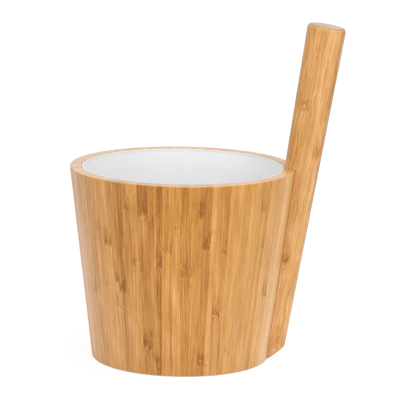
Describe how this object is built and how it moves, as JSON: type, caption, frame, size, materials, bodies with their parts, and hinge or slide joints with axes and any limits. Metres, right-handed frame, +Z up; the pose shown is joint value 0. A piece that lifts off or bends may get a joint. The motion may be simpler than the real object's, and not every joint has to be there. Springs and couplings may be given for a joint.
{
  "type": "bamboo sauna bucket",
  "caption": "Tapered coopered bamboo bucket with a white plastic liner and one upright round handle coped to its wall, for ladling sauna water.",
  "frame": {"origin": "middle of the bucket's foot ring, on the plane that the bucket stands on", "axes": "+Z up along the bucket's axis, +X towards the handle, +Y across the bucket"},
  "size_m": [0.2892, 0.2396, 0.362],
  "materials": {
    "bamboo_staves": "laminated bamboo, satin oiled",
    "bamboo_base": "laminated bamboo board, satin oiled",
    "bamboo_handle": "turned laminated bamboo, satin oiled",
    "liner_plastic": "white moulded plastic, satin",
    "screw_steel": "stainless steel"
  },
  "bodies": {
    "root": {"stave_01": "bamboo_staves", "stave_02": "bamboo_staves", "stave_03": "bamboo_staves", "stave_04": "bamboo_staves", "stave_05": "bamboo_staves", "stave_06": "bamboo_staves", "stave_07": "bamboo_staves", "stave_08": "bamboo_staves", "stave_09": "bamboo_staves", "stave_10": "bamboo_staves", "stave_11": "bamboo_staves", "stave_12": "bamboo_staves", "stave_13": "bamboo_staves", "stave_14": "bamboo_staves", "stave_15": "bamboo_staves", "stave_16": "bamboo_staves", "stave_17": "bamboo_staves", "stave_18": "bamboo_staves", "base": "bamboo_base", "liner": "liner_plastic", "handle": "bamboo_handle", "handle_screws": "screw_steel"}
  },
  "joints": []
}
